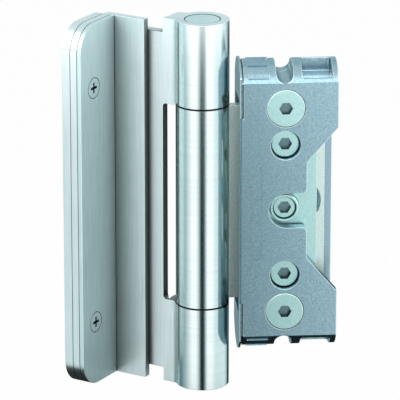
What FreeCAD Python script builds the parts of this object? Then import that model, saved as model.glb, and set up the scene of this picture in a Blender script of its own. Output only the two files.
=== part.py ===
import FreeCAD, Part
import math
import os

import Sketcher
from FreeCAD import Placement, Rotation, Vector

# Mortise door hinge with a rolled three-part knuckle, an angled door leaf and
# a frame wing that is clamped in a die-cast receiver, adjustable three ways.
#
# Millimetres, +Z up. The origin is the centre of the receiver's back face,
# which seats against the door frame's pocket. The viewer stands at -Y, and
# the knuckle is to the left at -X. Distances called front run towards -Y.

# Driving sizes
SIZES = {
    # Knuckle and pin
    "knuckle_diameter": 22.5,
    "knuckle_bore": 15,
    "knuckle_height": 160,
    "middle_height": 87,
    "knuckle_seam": 0.5,
    "axis_left": 35,
    "axis_front": 12.6,
    "pin_diameter": 12,
    "cap_height": 1.4,
    "cap_gap": 0.15,
    "cap_recess": 0.1,
    "slit_width": 0.3,
    "slit_far": 10.1,
    "slit_far_depth": 4.85,
    "slit_near": 3,
    "slit_near_depth": 7.4,
    # Door leaf, packing angle and cover plate
    "leaf_swing": 35,
    "plate_face": 36.4,
    "plate_reach": 36.9,
    "plate_short": 1,
    "plate_corner": 11.5,
    "cover_thick": 1.9,
    "angle_thick": 3.3,
    "leaf_thick": 4,
    "web_face": 7.2,
    "web_short": 5.9,
    "angle_web_end": 22,
    "flange_reach": 11.6,
    "window_short": 0.8,
    "window_corner": 1.3,
    "root_fillet": 3.5,
    "bend_radius": 5,
    "inner_bend": 1,
    "joint_line": 0.15,
    # Screws of the cover and holes for the screws into the door
    "cover_screw_reach": 26.8,
    "cover_screw_from_end": 27.5,
    "cover_screw_head": 8.6,
    "cover_screw_shank": 5,
    "cover_screw_length": 8,
    "cover_screw_rim": 0.1,
    "cover_screw_ring": 0.12,
    "cross_length": 4.6,
    "cross_width": 1.1,
    "cross_depth": 1.6,
    "door_hole": 5.5,
    "door_hole_sink": 10.5,
    "door_hole_near": 18,
    "door_hole_far": 30,
    "door_hole_from_end": 12,
    "door_hole_from_middle": 11,
    # Bearing bushes
    "bush_length": 25,
    "bush_flange": 18,
    "flange_thick": 0.4,
    "pin_play": 0.05,
    # Frame wing
    "wing_thick": 3.75,
    "wing_root_short": 1,
    "wing_root_reach": 20,
    "wing_tongue_short": 6.2,
    "wing_reach": 51.4,
    "wing_corner": 3,
    "wing_hole_radius": 10.2,
    "wing_hole_play": 5.95,
    "wing_slot_radius": 7,
    "wing_slot_play": 1.6,
    # Screw column of the receiver
    "column_left": 1.35,
    "clamp_spacing": 57,
    "adjuster_pitch": 16,
    # Receiver shells
    "receiver_width": 41,
    "end_height": 12.2,
    "receiver_depth": 26.1,
    "end_radius": 14,
    "front_wall": 4.6,
    "back_wall": 2,
    "side_wall": 2,
    "crease_radius": 0.8,
    "seam_front": 8.1,
    "ring_room": 0.3,
    "cavity_corner": 2,
    "mouth_short": 3.3,
    "side_opening_short": 9.3,
    "lip_thick": 0.8,
    "lip_groove": 0.8,
    "lip_radius": 15.1,
    "lip_length": 21.9,
    "edge_step": 0.9,
    # Cut-out of the front wall
    "cut_edge": 7.6,
    "cut_from_clamp": 7.45,
    "cut_from_adjuster": 8.7,
    "cut_corner": 2,
    "notch_radius": 7.5,
    "notch_centre": -0.7,
    # Ends of the receiver
    "channel_width": 7.1,
    "channel_above": 5.1,
    "channel_left": 1.75,
    "pocket_left": 5.5,
    "pocket_right": 18.1,
    "pocket_front": 25.2,
    "pocket_back": 12.6,
    "pocket_above": 2.3,
    "pocket_corner": 1,
    "ledge_depth": 5.4,
    "ledge_height": 4.2,
    "ledge_round": 2.5,
    "rib_left": -17.2,
    "rib_right": -8.3,
    "rib_width": 2.1,
    "rib_height": 0.45,
    "rib_first_turn": 48,
    "rib_pitch_turn": 27,
    "relief_left": -15.7,
    "relief_width": 4.5,
    "relief_height": 43.1,
    "relief_depth": 0.25,
    # Screws that hold the two shells together
    "shell_screw_side": 12.3,
    "shell_screw_above": 4,
    "shell_screw_head": 5.6,
    "shell_screw_shank": 3,
    "shell_screw_length": 9,
    "shell_screw_sink": 3.2,
    "shell_head_height": 1.9,
    # Carriage, clamp plate and clamp screws
    "layer_gap": 0.1,
    "carriage_thick": 5.15,
    "carriage_play": 0.3,
    "carriage_left": -13,
    "carriage_right": 12,
    "carriage_corner": 2,
    "slide_thick": 3.5,
    "clamp_thick": 3.5,
    "clamp_end": 9.5,
    "clamp_left": -13,
    "clamp_right": 12.4,
    "clamp_pad_start": 8.5,
    "clamp_screw_head": 11.8,
    "clamp_head_height": 3.4,
    "clamp_screw_shank": 6,
    "clamp_hole_play": 0.2,
    "clamp_window": 12.5,
    # Height slide and its crank
    "slide_left": -13,
    "slide_right": 10,
    "slide_height": 32,
    "slide_corner": 2,
    "boss_play": 0.15,
    "tongue_width": 12,
    "tongue_depth": 2.75,
    "tongue_play": 0.05,
    "groove_height": 39,
    "crank_radius": 5,
    "crank_disc": 14.6,
    "crank_disc_thick": 1.4,
    "crank_disc_play": 0.15,
    "crank_pin": 4,
    "crank_pin_play": 0.15,
    "crank_pin_length": 3.8,
    "height_travel": 3,
    "adjuster_head": 9.8,
    "adjuster_head_thick": 2.55,
    "adjuster_neck": 6,
    "adjuster_play": 0.05,
    "adjuster_head_play": 0.1,
    "cup_diameter": 12.3,
    "cup_height": 2.7,
    "cup_floor": 2.1,
    # Depth adjusters and their retaining rings
    "disc_diameter": 16.1,
    "disc_thick": 3.15,
    "disc_play": 0.1,
    "disc_edge": 0.3,
    "spindle_diameter": 8,
    "spindle_play": 0.05,
    "spindle_end": 2.2,
    "ring_diameter": 11,
    "ring_groove": 7,
    "ring_thick": 1,
    "ring_gap": 0.1,
    "ring_opening": 4,
    # Sockets
    "hex_across": 5,
    "hex_depth": 2.2,
    "small_hex_depth": 1.7,
    "edge_break": 0.4,
}


class Size:
    """A number with the expression that binds it to the sheet."""

    def __init__(self, value, text=""):
        self.value = float(value)
        self.text = text or f"{float(value):.6f}"

    def __add__(self, other):
        other = as_size(other)
        return Size(self.value + other.value, f"({self.text} + {other.text})")

    def __radd__(self, other):
        return as_size(other) + self

    def __sub__(self, other):
        other = as_size(other)
        return Size(self.value - other.value, f"({self.text} - {other.text})")

    def __rsub__(self, other):
        return as_size(other) - self

    def __mul__(self, other):
        other = as_size(other)
        return Size(self.value * other.value, f"({self.text} * {other.text})")

    def __rmul__(self, other):
        return as_size(other) * self

    def __truediv__(self, other):
        other = as_size(other)
        return Size(self.value / other.value, f"({self.text} / {other.text})")

    def __neg__(self):
        return Size(-self.value, f"(-{self.text})")


def as_size(item):
    return item if isinstance(item, Size) else Size(item)


def root(size):
    return Size(math.sqrt(size.value), f"sqrt({size.text})")


def cosine(degrees):
    degrees = as_size(degrees)
    return Size(math.cos(math.radians(degrees.value)), f"cos({degrees.text})")


def sine(degrees):
    degrees = as_size(degrees)
    return Size(math.sin(math.radians(degrees.value)), f"sin({degrees.text})")


class Corner:
    """A corner of an outline: rounded, or the start of an arc to the next one."""

    def __init__(self, across, up, rounding=0, arc=0):
        self.across = as_size(across)
        self.up = as_size(up)
        self.rounding = as_size(rounding)
        self.arc = as_size(arc)
        self.point = Vector(self.across.value, self.up.value, 0)


doc = FreeCAD.newDocument("door_hinge")
sheet = doc.addObject("Spreadsheet::Sheet", "Sizes")
for row, (alias, number) in enumerate(SIZES.items(), start=1):
    sheet.set(f"A{row}", alias)
    sheet.set(f"B{row}", str(number))
    sheet.setAlias(f"B{row}", alias)
doc.recompute()


class Sheet:
    """The sheet's cells as sizes."""

    def __getattr__(self, alias):
        return Size(SIZES[alias], f"Sizes.{alias}")


s = Sheet()
bodies = []

# Sketch planes by the direction that they face. A sketch that faces FRONT
# shows X to the right and Z up, and grows towards -Y.
SIDE = "YZ_Plane"
FRONT = "XZ_Plane"
TOP = "XY_Plane"


def new_body(name):
    body = doc.addObject("PartDesign::Body", name)
    body.Label = name
    bodies.append(body)
    return body


def new_sketch(body, name, facing, offset):
    """A sketch of the body on one of its origin planes, moved along its normal."""
    offset = as_size(offset)
    sketch = body.newObject("Sketcher::SketchObject", f"{body.Name}_{name}")
    plane = [item for item in body.Origin.OriginFeatures if item.Role == facing][0]
    sketch.AttachmentSupport = [(plane, "")]
    sketch.MapMode = "FlatFace"
    sketch.AttachmentOffset = Placement(Vector(0, 0, offset.value), Rotation())
    sketch.setExpression("AttachmentOffset.Base.z", offset.text)
    return sketch


def bind(sketch, constraint, size):
    index = sketch.addConstraint(constraint)
    sketch.setExpression(f"Constraints[{index}]", size.text)


def fix(sketch, shape, end, across, up):
    """Hold one point of a sketch shape at its distances from the origin."""
    bind(sketch, Sketcher.Constraint("DistanceX", -1, 1, shape, end, across.value), across)
    bind(sketch, Sketcher.Constraint("DistanceY", -1, 1, shape, end, up.value), up)


def arc_between(centre, radius, start, end):
    """An arc that runs counter-clockwise from start to end."""
    from_angle = math.atan2(start.y - centre.y, start.x - centre.x)
    to_angle = math.atan2(end.y - centre.y, end.x - centre.x)
    if to_angle < from_angle:
        to_angle += 2 * math.pi
    circle = Part.Circle(centre, Vector(0, 0, 1), radius)
    return Part.ArcOfCircle(circle, from_angle, to_angle)


def rounding_of(corner, before, after):
    """Centre and the two ends of a corner's rounding."""
    back = (before.point - corner.point).normalize()
    ahead = (after.point - corner.point).normalize()
    half = math.acos(back.dot(ahead)) / 2
    cut = corner.rounding.value / math.tan(half)
    centre = corner.point + (back + ahead).normalize() * (corner.rounding.value / math.sin(half))
    return centre, corner.point + back * cut, corner.point + ahead * cut


def outline(sketch, corners):
    """Closed counter-clockwise outline through the corners."""
    count = len(corners)
    rounds = {}
    for index, corner in enumerate(corners):
        if corner.rounding.value:
            rounds[index] = rounding_of(corner, corners[index - 1], corners[(index + 1) % count])
    sides = []
    for index, corner in enumerate(corners):
        following = (index + 1) % count
        start = rounds[index][2] if index in rounds else corner.point
        end = rounds[following][1] if following in rounds else corners[following].point
        if corner.arc.value:
            middle = (start + end) * 0.5
            chord = end - start
            rise = math.sqrt(max(corner.arc.value ** 2 - (chord.Length / 2) ** 2, 0))
            centre = middle + Vector(-chord.y, chord.x, 0).normalize() * rise
            shape = sketch.addGeometry(arc_between(centre, corner.arc.value, start, end), False)
            bind(sketch, Sketcher.Constraint("Radius", shape, corner.arc.value), corner.arc)
        else:
            shape = sketch.addGeometry(Part.LineSegment(start, end), False)
        sides.append(shape)
    for index, corner in enumerate(corners):
        before, after = sides[index - 1], sides[index]
        if index not in rounds:
            sketch.addConstraint(Sketcher.Constraint("Coincident", before, 2, after, 1))
            fix(sketch, after, 1, corner.across, corner.up)
            continue
        centre, start, end = rounds[index]
        left_turn = (start - centre).cross(end - centre).z > 0
        ends = (start, end) if left_turn else (end, start)
        arc = sketch.addGeometry(arc_between(centre, corner.rounding.value, *ends), False)
        first, second = (1, 2) if left_turn else (2, 1)
        sketch.addConstraint(Sketcher.Constraint("Tangent", before, 2, arc, first))
        sketch.addConstraint(Sketcher.Constraint("Tangent", after, 1, arc, second))
        bind(sketch, Sketcher.Constraint("Radius", arc, corner.rounding.value), corner.rounding)
        tip = sketch.addGeometry(Part.Point(corner.point), True)
        fix(sketch, tip, 1, corner.across, corner.up)
        sketch.addConstraint(Sketcher.Constraint("PointOnObject", tip, 1, before))
        sketch.addConstraint(Sketcher.Constraint("PointOnObject", tip, 1, after))


def rectangle(sketch, left, right, low, high, rounding=0):
    outline(sketch, [Corner(left, low, rounding), Corner(right, low, rounding),
                     Corner(right, high, rounding), Corner(left, high, rounding)])


def circle(sketch, across, up, radius):
    across, up, radius = as_size(across), as_size(up), as_size(radius)
    centre = Vector(across.value, up.value, 0)
    shape = sketch.addGeometry(Part.Circle(centre, Vector(0, 0, 1), radius.value), False)
    fix(sketch, shape, 3, across, up)
    bind(sketch, Sketcher.Constraint("Radius", shape, radius.value), radius)


def slot(sketch, across, up, half_length, radius, upright=False):
    """A round-ended slot about a centre, along X or upright."""
    across, up = as_size(across), as_size(up)
    step = (as_size(0), half_length) if upright else (half_length, as_size(0))
    near = (across - step[0], up - step[1])
    far = (across + step[0], up + step[1])
    near_point = Vector(near[0].value, near[1].value, 0)
    far_point = Vector(far[0].value, far[1].value, 0)
    along = (far_point - near_point).normalize()
    beside = Vector(-along.y, along.x, 0) * radius.value
    arcs = []
    for centre, turn in ((near_point, 1), (far_point, -1)):
        arc = arc_between(centre, radius.value, centre + beside * turn, centre - beside * turn)
        arcs.append(sketch.addGeometry(arc, False))
    low = sketch.addGeometry(Part.LineSegment(near_point - beside, far_point - beside), False)
    high = sketch.addGeometry(Part.LineSegment(far_point + beside, near_point + beside), False)
    sketch.addConstraint(Sketcher.Constraint("Tangent", arcs[0], 2, low, 1))
    sketch.addConstraint(Sketcher.Constraint("Tangent", low, 2, arcs[1], 1))
    sketch.addConstraint(Sketcher.Constraint("Tangent", arcs[1], 2, high, 1))
    sketch.addConstraint(Sketcher.Constraint("Tangent", high, 2, arcs[0], 1))
    for arc, centre in ((arcs[0], near), (arcs[1], far)):
        fix(sketch, arc, 3, *centre)
        bind(sketch, Sketcher.Constraint("Radius", arc, radius.value), radius)


def hexagon(sketch, across_flats):
    """A socket's hexagon with its flats above and below."""
    reach = across_flats / root(as_size(3))
    outline(sketch, [Corner(reach * cosine(turn), reach * sine(turn)) for turn in range(0, 360, 60)])


def extrude(body, kind, sketch, length):
    length = as_size(length)
    feature = body.newObject(f"PartDesign::{kind}", f"{sketch.Name}_{kind.lower()}")
    feature.Profile = sketch
    feature.Length = length.value
    feature.setExpression("Length", length.text)
    return feature


def pad(body, sketch, length):
    """Grow the sketch along its normal."""
    return extrude(body, "Pad", sketch, length)


def cut(body, sketch, length):
    """Cut the sketch away along its normal, the way that a pad would grow."""
    feature = extrude(body, "Pocket", sketch, length)
    feature.Reversed = True
    return feature


def turn_profile(body, name, corners):
    """Revolve an outline of radius and height about the body's own Z axis."""
    sketch = new_sketch(body, name, FRONT, 0)
    outline(sketch, corners)
    feature = body.newObject("PartDesign::Revolution", f"{sketch.Name}_turn")
    feature.Profile = sketch
    feature.ReferenceAxis = (sketch, ["V_Axis"])
    feature.Angle = 360
    return feature


def socket(body, name, top, depth):
    """Hexagon socket cut down from a head's top."""
    sketch = new_sketch(body, name, TOP, top - depth)
    hexagon(sketch, s.hex_across)
    cut(body, sketch, depth)


def dress(body, kind, name, size, wanted):
    """Fillet or chamfer the edges of the body that the test picks."""
    doc.recompute()
    base = body.Tip
    names = [f"Edge{index}" for index, edge in enumerate(base.Shape.Edges, start=1) if wanted(edge)]
    feature = body.newObject(f"PartDesign::{kind}", f"{body.Name}_{name}")
    feature.Base = (base, names)
    cell = "Radius" if kind == "Fillet" else "Size"
    setattr(feature, cell, size.value)
    feature.setExpression(cell, size.text)
    return feature


def upright_at(*places):
    """Test for straight edges along Z that pass through one of the places."""
    def wanted(edge):
        low, high = edge.BoundBox.ZMin, edge.BoundBox.ZMax
        middle = edge.BoundBox.Center
        if edge.BoundBox.XLength > 0.01 or edge.BoundBox.YLength > 0.01 or high - low < 1:
            return False
        return any(abs(middle.x - x.value) < 0.02 and abs(middle.y - y.value) < 0.02
                   for x, y in places)
    return wanted


def place(body, across=0, back=0, up=0):
    """Put the body's origin at a place of the row's frame."""
    base = [as_size(item) for item in (across, back, up)]
    body.Placement = Placement(Vector(*[item.value for item in base]), Rotation())
    for axis, item in zip("xyz", base):
        body.setExpression(f"Placement.Base.{axis}", item.text)


def face_front(body, across, up):
    """Put a turned piece's axis towards the viewer, its heights counted from the seat."""
    place(body, across, 0, up)
    body.Placement = Placement(body.Placement.Base, Rotation(Vector(1, 0, 0), 90))


def place_on_leaf(body):
    """Leaf pieces are drawn about the knuckle's axis and then swung."""
    place(body, -s.axis_left, -s.axis_front, 0)
    turned = Rotation(Vector(0, 0, 1), -s.leaf_swing.value)
    body.Placement = Placement(body.Placement.Base, turned)
    body.setExpression("Placement.Rotation.Angle", f"-{s.leaf_swing.text} * 1 deg")


# Heights above the seat of the layers inside the receiver
WING_BACK = s.axis_front - s.wing_thick
WING_FRONT = s.axis_front
CARRIAGE_FRONT = WING_BACK - s.layer_gap
CARRIAGE_BACK = CARRIAGE_FRONT - s.carriage_thick
SLIDE_BACK = WING_FRONT + s.layer_gap
SLIDE_FRONT = SLIDE_BACK + s.slide_thick
CLAMP_BACK = SLIDE_FRONT + s.layer_gap
CLAMP_FRONT = CLAMP_BACK + s.clamp_thick
WALL_BACK = s.receiver_depth - s.front_wall
WALL_FRONT = s.receiver_depth
COLUMN = -s.column_left
CLAMP_UP = s.clamp_spacing / 2
DEPTH_UP = CLAMP_UP + s.adjuster_pitch
CAVITY_HALF = DEPTH_UP + s.ring_diameter / 2 + s.ring_room
RECEIVER_HALF = CAVITY_HALF + s.end_height
CROWN_UP = RECEIVER_HALF - s.end_radius
LIP_FROM = RECEIVER_HALF - s.lip_length
POCKET_FLOOR = CAVITY_HALF + s.pocket_above
CHANNEL_FLOOR = CAVITY_HALF + s.channel_above
SHELL_SCREW_UP = CAVITY_HALF + s.shell_screw_above

# Leaf layers, as distances from the knuckle's axis
KNUCKLE_RADIUS = s.knuckle_diameter / 2
KNUCKLE_HALF = s.knuckle_height / 2
ANGLE_FACE = s.plate_face + s.cover_thick
LEAF_FACE = ANGLE_FACE + s.angle_thick
LEAF_BACK = LEAF_FACE + s.leaf_thick
WEB_BACK = s.web_face - s.leaf_thick
ANGLE_WEB_FACE = s.web_face + s.angle_thick
PLATE_HALF = KNUCKLE_HALF - s.plate_short
WEB_HALF = KNUCKLE_HALF - s.web_short
COVER_SCREW_UP = PLATE_HALF - s.cover_screw_from_end
LEAF_KNUCKLE_FROM = s.middle_height / 2 + s.knuckle_seam


def plate_outline(sketch, inner_edge):
    """Tall plate whose free corners, away from the web, are rounded."""
    outline(sketch, [Corner(-s.plate_reach, -PLATE_HALF, s.plate_corner),
                     Corner(-inner_edge, -PLATE_HALF), Corner(-inner_edge, PLATE_HALF),
                     Corner(-s.plate_reach, PLATE_HALF, s.plate_corner)])


def cover_screw_holes(body, face, thickness, radius):
    """Holes of the two cover screws through one layer of the leaf."""
    holes = new_sketch(body, "cover_holes", SIDE, -face - thickness)
    for side in (-1, 1):
        circle(holes, -s.cover_screw_reach, side * COVER_SCREW_UP, radius)
    cut(body, holes, thickness)


def door_screw_places():
    """Places of the six screws into the door, in two columns that alternate."""
    outer = PLATE_HALF - s.door_hole_from_end
    inner = s.door_hole_from_middle
    rows = ((outer, s.door_hole_near), ((outer + inner) / 2, s.door_hole_far),
            (inner, s.door_hole_near))
    return [(-reach, side * up) for up, reach in rows for side in (-1, 1)]


def door_screw_holes(body, face, thickness):
    holes = new_sketch(body, "door_holes", SIDE, -face - thickness)
    for across, up in door_screw_places():
        circle(holes, across, up, s.door_hole / 2)
    cut(body, holes, thickness)


def cones(body, name, face, places, top_radius, depth):
    """Countersinks at a quarter turn, sunk from a layer's front face."""
    rims = new_sketch(body, name, SIDE, -face)
    for across, up in places:
        circle(rims, across, up, top_radius)
    feature = extrude(body, "Pocket", rims, depth)
    feature.TaperAngle = -45
    return feature


def make_door_leaf():
    """Plate, web and the upper and lower knuckles, rolled from one strip."""
    body = new_body("door_leaf")
    plate = new_sketch(body, "plate", SIDE, -LEAF_BACK)
    radius = s.plate_corner
    drop = PLATE_HALF - WEB_HALF
    shoulder = WEB_BACK + root(2 * radius * drop - drop * drop)
    outline(plate, [Corner(-s.plate_reach, -PLATE_HALF, radius),
                    Corner(-shoulder, -PLATE_HALF, arc=radius),
                    Corner(-WEB_BACK, -WEB_HALF), Corner(-WEB_BACK, WEB_HALF, arc=radius),
                    Corner(-shoulder, PLATE_HALF), Corner(-s.plate_reach, PLATE_HALF, radius)])
    pad(body, plate, s.leaf_thick)
    web = new_sketch(body, "web", FRONT, WEB_BACK)
    outline(web, [Corner(-LEAF_FACE, -WEB_HALF), Corner(-s.flange_reach, -WEB_HALF),
                  Corner(-s.flange_reach, -KNUCKLE_HALF), Corner(0, -KNUCKLE_HALF),
                  Corner(0, KNUCKLE_HALF), Corner(-s.flange_reach, KNUCKLE_HALF),
                  Corner(-s.flange_reach, WEB_HALF), Corner(-LEAF_FACE, WEB_HALF)])
    pad(body, web, s.leaf_thick)
    bend = new_sketch(body, "bend", TOP, -KNUCKLE_HALF)
    radius = s.bend_radius
    left, back = -LEAF_BACK, -WEB_BACK
    outline(bend, [Corner(left - radius, back - 2 * radius), Corner(left, back - 2 * radius),
                   Corner(left, back, radius), Corner(left + 2 * radius, back),
                   Corner(left + 2 * radius, back + radius), Corner(left - radius, back + radius)])
    cut(body, bend, s.knuckle_height)
    dress(body, "Fillet", "inner_bend", s.inner_bend, upright_at((-LEAF_FACE, -s.web_face)))
    knuckle = new_sketch(body, "knuckle", TOP, -KNUCKLE_HALF)
    circle(knuckle, 0, 0, KNUCKLE_RADIUS)
    pad(body, knuckle, s.knuckle_height)
    joint = -root(KNUCKLE_RADIUS * KNUCKLE_RADIUS - s.web_face * s.web_face)
    dress(body, "Fillet", "root", s.root_fillet, upright_at((joint, -s.web_face)))
    bore = new_sketch(body, "bore", TOP, -KNUCKLE_HALF)
    circle(bore, 0, 0, s.knuckle_bore / 2)
    cut(body, bore, s.knuckle_height)
    slit = new_sketch(body, "slit", TOP, -KNUCKLE_HALF)
    outline(slit, [Corner(-s.slit_far, -s.slit_far_depth - s.slit_width),
                   Corner(-s.slit_near, -s.slit_near_depth - s.slit_width),
                   Corner(-s.slit_near, -s.slit_near_depth), Corner(-s.slit_far, -s.slit_far_depth)])
    cut(body, slit, s.knuckle_height)
    middle = new_sketch(body, "middle", TOP, -LEAF_KNUCKLE_FROM)
    circle(middle, 0, 0, KNUCKLE_RADIUS + s.knuckle_seam)
    cut(body, middle, 2 * LEAF_KNUCKLE_FROM)
    window = new_sketch(body, "window", FRONT, -KNUCKLE_RADIUS)
    edge = LEAF_KNUCKLE_FROM - s.window_short
    outline(window, [Corner(-s.flange_reach, -edge, s.window_corner), Corner(0, -edge),
                     Corner(0, edge), Corner(-s.flange_reach, edge, s.window_corner)])
    cut(body, window, 2 * KNUCKLE_RADIUS)
    cover_screw_holes(body, LEAF_FACE, s.leaf_thick, s.cover_screw_shank / 2)
    door_screw_holes(body, LEAF_FACE, s.leaf_thick)
    place_on_leaf(body)


def make_packing_angle():
    """Steel angle between the leaf and its cover."""
    body = new_body("packing_angle")
    plate = new_sketch(body, "plate", SIDE, -LEAF_FACE)
    plate_outline(plate, s.web_face)
    pad(body, plate, s.angle_thick)
    web = new_sketch(body, "web", FRONT, s.web_face)
    rectangle(web, -LEAF_FACE, -s.angle_web_end, -PLATE_HALF, PLATE_HALF)
    pad(body, web, s.angle_thick)
    outer = s.inner_bend + s.joint_line
    dress(body, "Fillet", "outer_bend", outer, upright_at((-LEAF_FACE, -s.web_face)))
    cover_screw_holes(body, ANGLE_FACE, s.angle_thick, s.cover_screw_shank / 2)
    door_screw_holes(body, ANGLE_FACE, s.angle_thick)
    cone_depth = (s.door_hole_sink - s.door_hole) / 2
    cones(body, "sinks", ANGLE_FACE, door_screw_places(), s.door_hole_sink / 2, cone_depth)
    place_on_leaf(body)


def cover_screw_places():
    return [(-s.cover_screw_reach, side * COVER_SCREW_UP) for side in (-1, 1)]


def make_cover_plate():
    """Cover over the screws into the door."""
    body = new_body("cover_plate")
    plate = new_sketch(body, "plate", SIDE, -ANGLE_FACE)
    plate_outline(plate, ANGLE_WEB_FACE + s.joint_line)
    pad(body, plate, s.cover_thick)
    shank = s.cover_screw_shank / 2 + s.cover_screw_ring
    cover_screw_holes(body, s.plate_face, s.cover_thick, shank)
    rim = s.cover_screw_head / 2 + s.cover_screw_ring
    cones(body, "sinks", s.plate_face, cover_screw_places(), rim, s.cover_thick)
    place_on_leaf(body)


def make_cover_screw(name, side):
    """Countersunk screw with a cross recess, flush with the cover plate."""
    body = new_body(name)
    head = s.cover_screw_head / 2
    shank = s.cover_screw_shank / 2
    turn_profile(body, "profile", [
        Corner(0, -s.cover_screw_length), Corner(shank, -s.cover_screw_length),
        Corner(shank, shank - head - s.cover_screw_rim), Corner(head, -s.cover_screw_rim),
        Corner(head, 0), Corner(0, 0)])
    arm = s.cross_length / 2
    half = s.cross_width / 2
    for label, wide, tall in (("cross_level", arm, half), ("cross_upright", half, arm)):
        recess = new_sketch(body, label, TOP, -s.cross_depth)
        rectangle(recess, -wide, wide, -tall, tall)
        cut(body, recess, s.cross_depth)
    up = side * COVER_SCREW_UP
    spot = f"vector(-{s.plate_face.text}; -{s.cover_screw_reach.text}; {up.text})"
    body.setExpression("Placement", f"door_leaf.Placement * placement({spot}; vector(0; 1; 0); 90)")


def make_pin_set():
    """Pin through all three knuckles, with its sleeves and end caps in the leaf."""
    pin = new_body("hinge_pin")
    cap_from = KNUCKLE_HALF - s.cap_recess - s.cap_height
    half = cap_from - s.cap_gap
    radius = s.pin_diameter / 2
    bevel = s.edge_break
    turn_profile(pin, "profile", [
        Corner(0, -half), Corner(radius - bevel, -half), Corner(radius, bevel - half),
        Corner(radius, half - bevel), Corner(radius - bevel, half), Corner(0, half)])
    place_on_leaf(pin)
    for name, side in (("upper", 1), ("lower", -1)):
        sleeve = new_body(f"pin_sleeve_{name}")
        ends = sorted((side * LEAF_KNUCKLE_FROM, side * half), key=lambda size: size.value)
        tube = new_sketch(sleeve, "tube", TOP, ends[0])
        circle(tube, 0, 0, s.knuckle_bore / 2)
        circle(tube, 0, 0, radius)
        pad(sleeve, tube, half - LEAF_KNUCKLE_FROM)
        place_on_leaf(sleeve)
        cap = new_body(f"pin_cap_{name}")
        outer = s.knuckle_bore / 2 - s.cap_gap
        inner_face, outer_face = side * cap_from, side * (cap_from + s.cap_height)
        low, high = (inner_face, outer_face) if side > 0 else (outer_face, inner_face)
        disc = new_sketch(cap, "disc", TOP, low)
        circle(disc, 0, 0, outer)
        pad(cap, disc, high - low)
        place_on_leaf(cap)


def make_frame_wing():
    """Middle knuckle and the wing that the receiver clamps, as one forging."""
    body = new_body("frame_wing")
    knuckle = new_sketch(body, "knuckle", TOP, -s.middle_height / 2)
    circle(knuckle, -s.axis_left, -s.axis_front, KNUCKLE_RADIUS)
    pad(body, knuckle, s.middle_height)
    wing = new_sketch(body, "wing", FRONT, WING_BACK)
    root_half = s.middle_height / 2 - s.wing_root_short
    half = s.middle_height / 2 - s.wing_tongue_short
    end = s.wing_reach - s.axis_left
    step = s.wing_root_reach - s.axis_left
    outline(wing, [Corner(-s.axis_left, -root_half), Corner(step, -root_half, s.window_corner),
                   Corner(step, -half, s.window_corner), Corner(end, -half, s.wing_corner),
                   Corner(end, half, s.wing_corner), Corner(step, half, s.window_corner),
                   Corner(step, root_half, s.window_corner), Corner(-s.axis_left, root_half)])
    pad(body, wing, s.wing_thick)
    bore = new_sketch(body, "bore", TOP, -s.middle_height / 2)
    circle(bore, -s.axis_left, -s.axis_front, s.knuckle_bore / 2)
    cut(body, bore, s.middle_height)
    holes = new_sketch(body, "holes", FRONT, WING_BACK)
    slot(holes, COLUMN, 0, s.wing_hole_play, s.wing_hole_radius)
    for side in (-1, 1):
        slot(holes, COLUMN, side * CLAMP_UP, s.wing_slot_play, s.wing_slot_radius)
    cut(body, holes, s.wing_thick)


def make_bearing_bushes():
    """Flanged plain bushes pressed into the middle knuckle."""
    end = s.middle_height / 2
    for name, turn in (("upper", 0), ("lower", 180)):
        body = new_body(f"bearing_bush_{name}")
        inner = s.pin_diameter / 2 + s.pin_play
        outer = s.knuckle_bore / 2
        turn_profile(body, "profile", [
            Corner(inner, end - s.bush_length), Corner(outer, end - s.bush_length),
            Corner(outer, end), Corner(s.bush_flange / 2, end),
            Corner(s.bush_flange / 2, end + s.flange_thick), Corner(inner, end + s.flange_thick)])
        place(body, -s.axis_left, -s.axis_front, 0)
        body.Placement = Placement(body.Placement.Base, Rotation(Vector(1, 0, 0), turn))


def crown_reach(radius, distance):
    """How far a crown of this radius rises at a distance from its own centre."""
    return root(radius * radius - distance * distance)


def shell_section(sketch, radius, front, back):
    """The shell's section: flat walls that end in round crowns above and below."""
    front_up = CROWN_UP + crown_reach(radius, front - s.end_radius)
    back_up = CROWN_UP + crown_reach(radius, s.end_radius - back)
    outline(sketch, [Corner(-front, -front_up, arc=radius), Corner(-back, -back_up),
                     Corner(-back, back_up, arc=radius), Corner(-front, front_up)])


def shell_screw_places():
    return [(f"{height}_{width}", across * s.shell_screw_side, up * SHELL_SCREW_UP)
            for height, up in (("upper", 1), ("lower", -1))
            for width, across in (("left", -1), ("right", 1))]


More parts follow.
